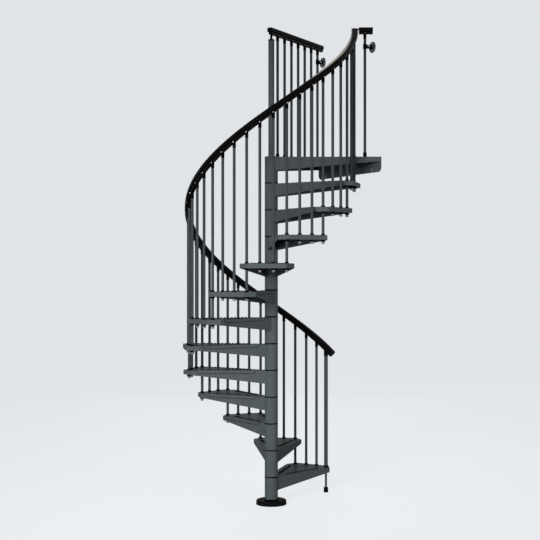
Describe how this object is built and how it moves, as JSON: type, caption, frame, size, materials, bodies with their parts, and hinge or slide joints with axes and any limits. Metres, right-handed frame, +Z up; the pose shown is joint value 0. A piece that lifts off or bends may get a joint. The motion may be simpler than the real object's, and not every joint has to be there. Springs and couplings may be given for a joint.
{
  "type": "spiral staircase",
  "caption": "Steel spiral staircase: wedge-shaped folded treads stacked on a round column, with a helical handrail on upright bars and a landing plate that bolts to the upper floor.",
  "frame": {"origin": "on the floor, on the column's axis", "axes": "+Z up; +X square to the wall that the landing is bolted to, towards it; the flight climbs anticlockwise seen from above"},
  "size_m": [1.4569, 1.428, 3.8385],
  "materials": {
    "painted_steel": "satin powder coat",
    "black_plastic": "matt",
    "handrail": "satin",
    "zinc": "zinc plated",
    "grey_disc": "satin"
  },
  "bodies": {
    "root": {"baluster_caps": "black_plastic", "baluster_collars": "black_plastic", "baluster_sleeves": "black_plastic", "balusters_01": "painted_steel", "balusters_02": "painted_steel", "balusters_03": "painted_steel", "balusters_04": "painted_steel", "balusters_05": "painted_steel", "balusters_06": "painted_steel", "balusters_07": "painted_steel", "balusters_08": "painted_steel", "balusters_09": "painted_steel", "balusters_10": "painted_steel", "balusters_11": "painted_steel", "balusters_12": "painted_steel", "base_cover": "black_plastic", "base_plate": "painted_steel", "column_collar": "black_plastic", "first_post": "painted_steel", "first_post_foot": "black_plastic", "handrail_link": "black_plastic", "landing_balusters": "painted_steel", "landing_feet": "black_plastic", "landing_handrail": "handrail", "landing_newel": "painted_steel", "landing_platform": "painted_steel", "landing_wall_plate": "painted_steel", "newel_cap": "black_plastic", "spacer_rings": "black_plastic", "stair_handrail": "handrail", "tread_01": "painted_steel", "tread_02": "painted_steel", "tread_03": "painted_steel", "tread_04": "painted_steel", "tread_05": "painted_steel", "tread_06": "painted_steel", "tread_07": "painted_steel", "tread_08": "painted_steel", "tread_09": "painted_steel", "tread_10": "painted_steel", "tread_11": "painted_steel", "tread_12": "painted_steel", "tread_nuts": "zinc", "wall_bracket_arms": "black_plastic", "wall_bracket_discs": "grey_disc", "wall_side_handrail": "handrail"}
  },
  "joints": []
}
